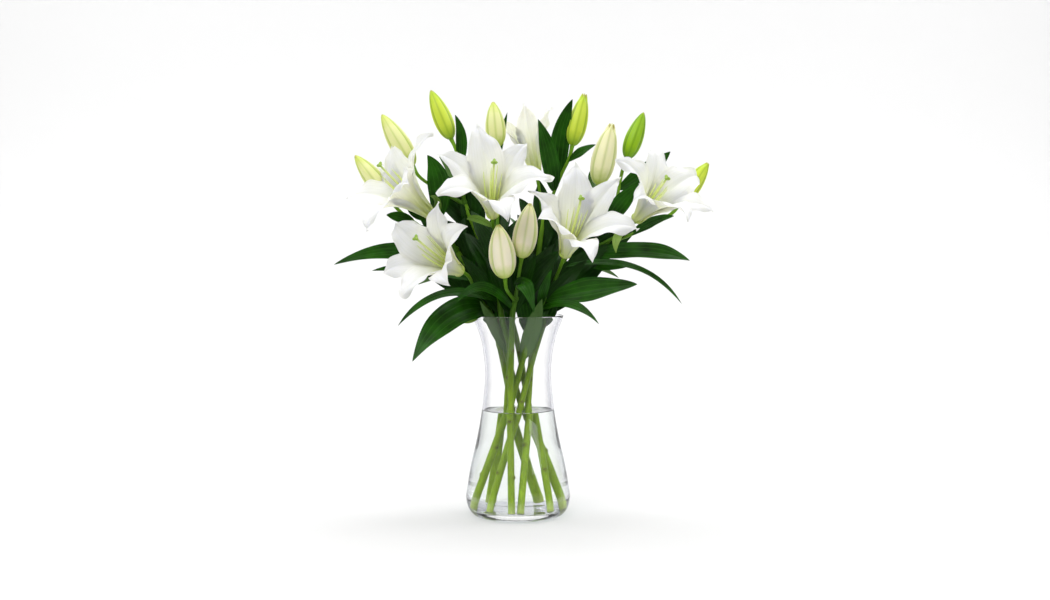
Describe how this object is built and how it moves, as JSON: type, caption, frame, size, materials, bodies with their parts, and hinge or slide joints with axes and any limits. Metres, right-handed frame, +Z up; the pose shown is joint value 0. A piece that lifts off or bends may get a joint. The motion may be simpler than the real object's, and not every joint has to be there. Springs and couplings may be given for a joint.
{
  "type": "vase of lilies",
  "caption": "Flared clear glass vase with water holding a spreading bunch of white trumpet lilies with open flowers, buds and long dark leaves.",
  "frame": {"origin": "centre of the vase's flat underside, on the surface it stands on", "axes": "+Z up along the vase's axis, -Y towards the front of the bunch, where most flowers face, +X to the right seen from the front"},
  "size_m": [0.519, 0.3253, 0.597],
  "materials": {
    "clear_glass": "clear soda-lime glass, polished, colourless with a faint grey-lavender edge",
    "water": "clear still tap water",
    "lily_stem": "smooth green stem, satin, with small leaf scars",
    "lily_petal": "waxy white petal, pale yellow-green in the throat, lengthwise veins",
    "lily_pistil": "pale yellow-green style and filaments, satin",
    "green_bud": "waxy yellow-green bud with darker seams",
    "cream_bud": "waxy cream bud with pale green ribs and a faint pink flush",
    "lily_leaf": "dark green leaf with parallel veins, semi-gloss above, greyer green beneath"
  },
  "bodies": {
    "root": {"bud_far_left": "cream_bud", "bud_far_right": "green_bud", "bud_front_left": "cream_bud", "bud_front_right": "cream_bud", "bud_left_high": "cream_bud", "bud_left_top": "green_bud", "bud_middle_top": "cream_bud", "bud_right_high": "green_bud", "bud_right_opening": "cream_bud", "bud_right_top": "green_bud", "flower_back_inner_petals": "lily_petal", "flower_back_outer_petals": "lily_petal", "flower_back_pistil": "lily_pistil", "flower_left_inner_petals": "lily_petal", "flower_left_outer_petals": "lily_petal", "flower_left_pistil": "lily_pistil", "flower_low_left_inner_petals": "lily_petal", "flower_low_left_outer_petals": "lily_petal", "flower_low_left_pistil": "lily_pistil", "flower_right_front_inner_petals": "lily_petal", "flower_right_front_outer_petals": "lily_petal", "flower_right_front_pistil": "lily_pistil", "flower_right_inner_petals": "lily_petal", "flower_right_outer_petals": "lily_petal", "flower_right_pistil": "lily_pistil", "flower_top_inner_petals": "lily_petal", "flower_top_outer_petals": "lily_petal", "flower_top_pistil": "lily_pistil", "leaf_back_high_left": "lily_leaf", "leaf_back_high_right": "lily_leaf", "leaf_back_left": "lily_leaf", "leaf_back_middle": "lily_leaf", "leaf_back_right": "lily_leaf", "leaf_far_left": "lily_leaf", "leaf_far_right": "lily_leaf", "leaf_front_arching": "lily_leaf", "leaf_front_right": "lily_leaf", "leaf_left_arching": "lily_leaf", "leaf_left_glossy": "lily_leaf", "leaf_left_hanging": "lily_leaf", "leaf_left_narrow": "lily_leaf", "leaf_neck_left": "lily_leaf", "leaf_neck_right": "lily_leaf", "leaf_right_arching": "lily_leaf", "leaf_right_behind": "lily_leaf", "leaf_right_broad": "lily_leaf", "leaf_right_inner": "lily_leaf", "leaf_top_left": "lily_leaf", "leaf_top_middle": "lily_leaf", "leaf_top_upright": "lily_leaf", "stem_1": "lily_stem", "stem_2": "lily_stem", "stem_3": "lily_stem", "stem_4": "lily_stem", "stem_5": "lily_stem", "stem_6": "lily_stem", "stem_7": "lily_stem", "stem_8": "lily_stem", "vase": "clear_glass", "water": "water"}
  },
  "joints": []
}
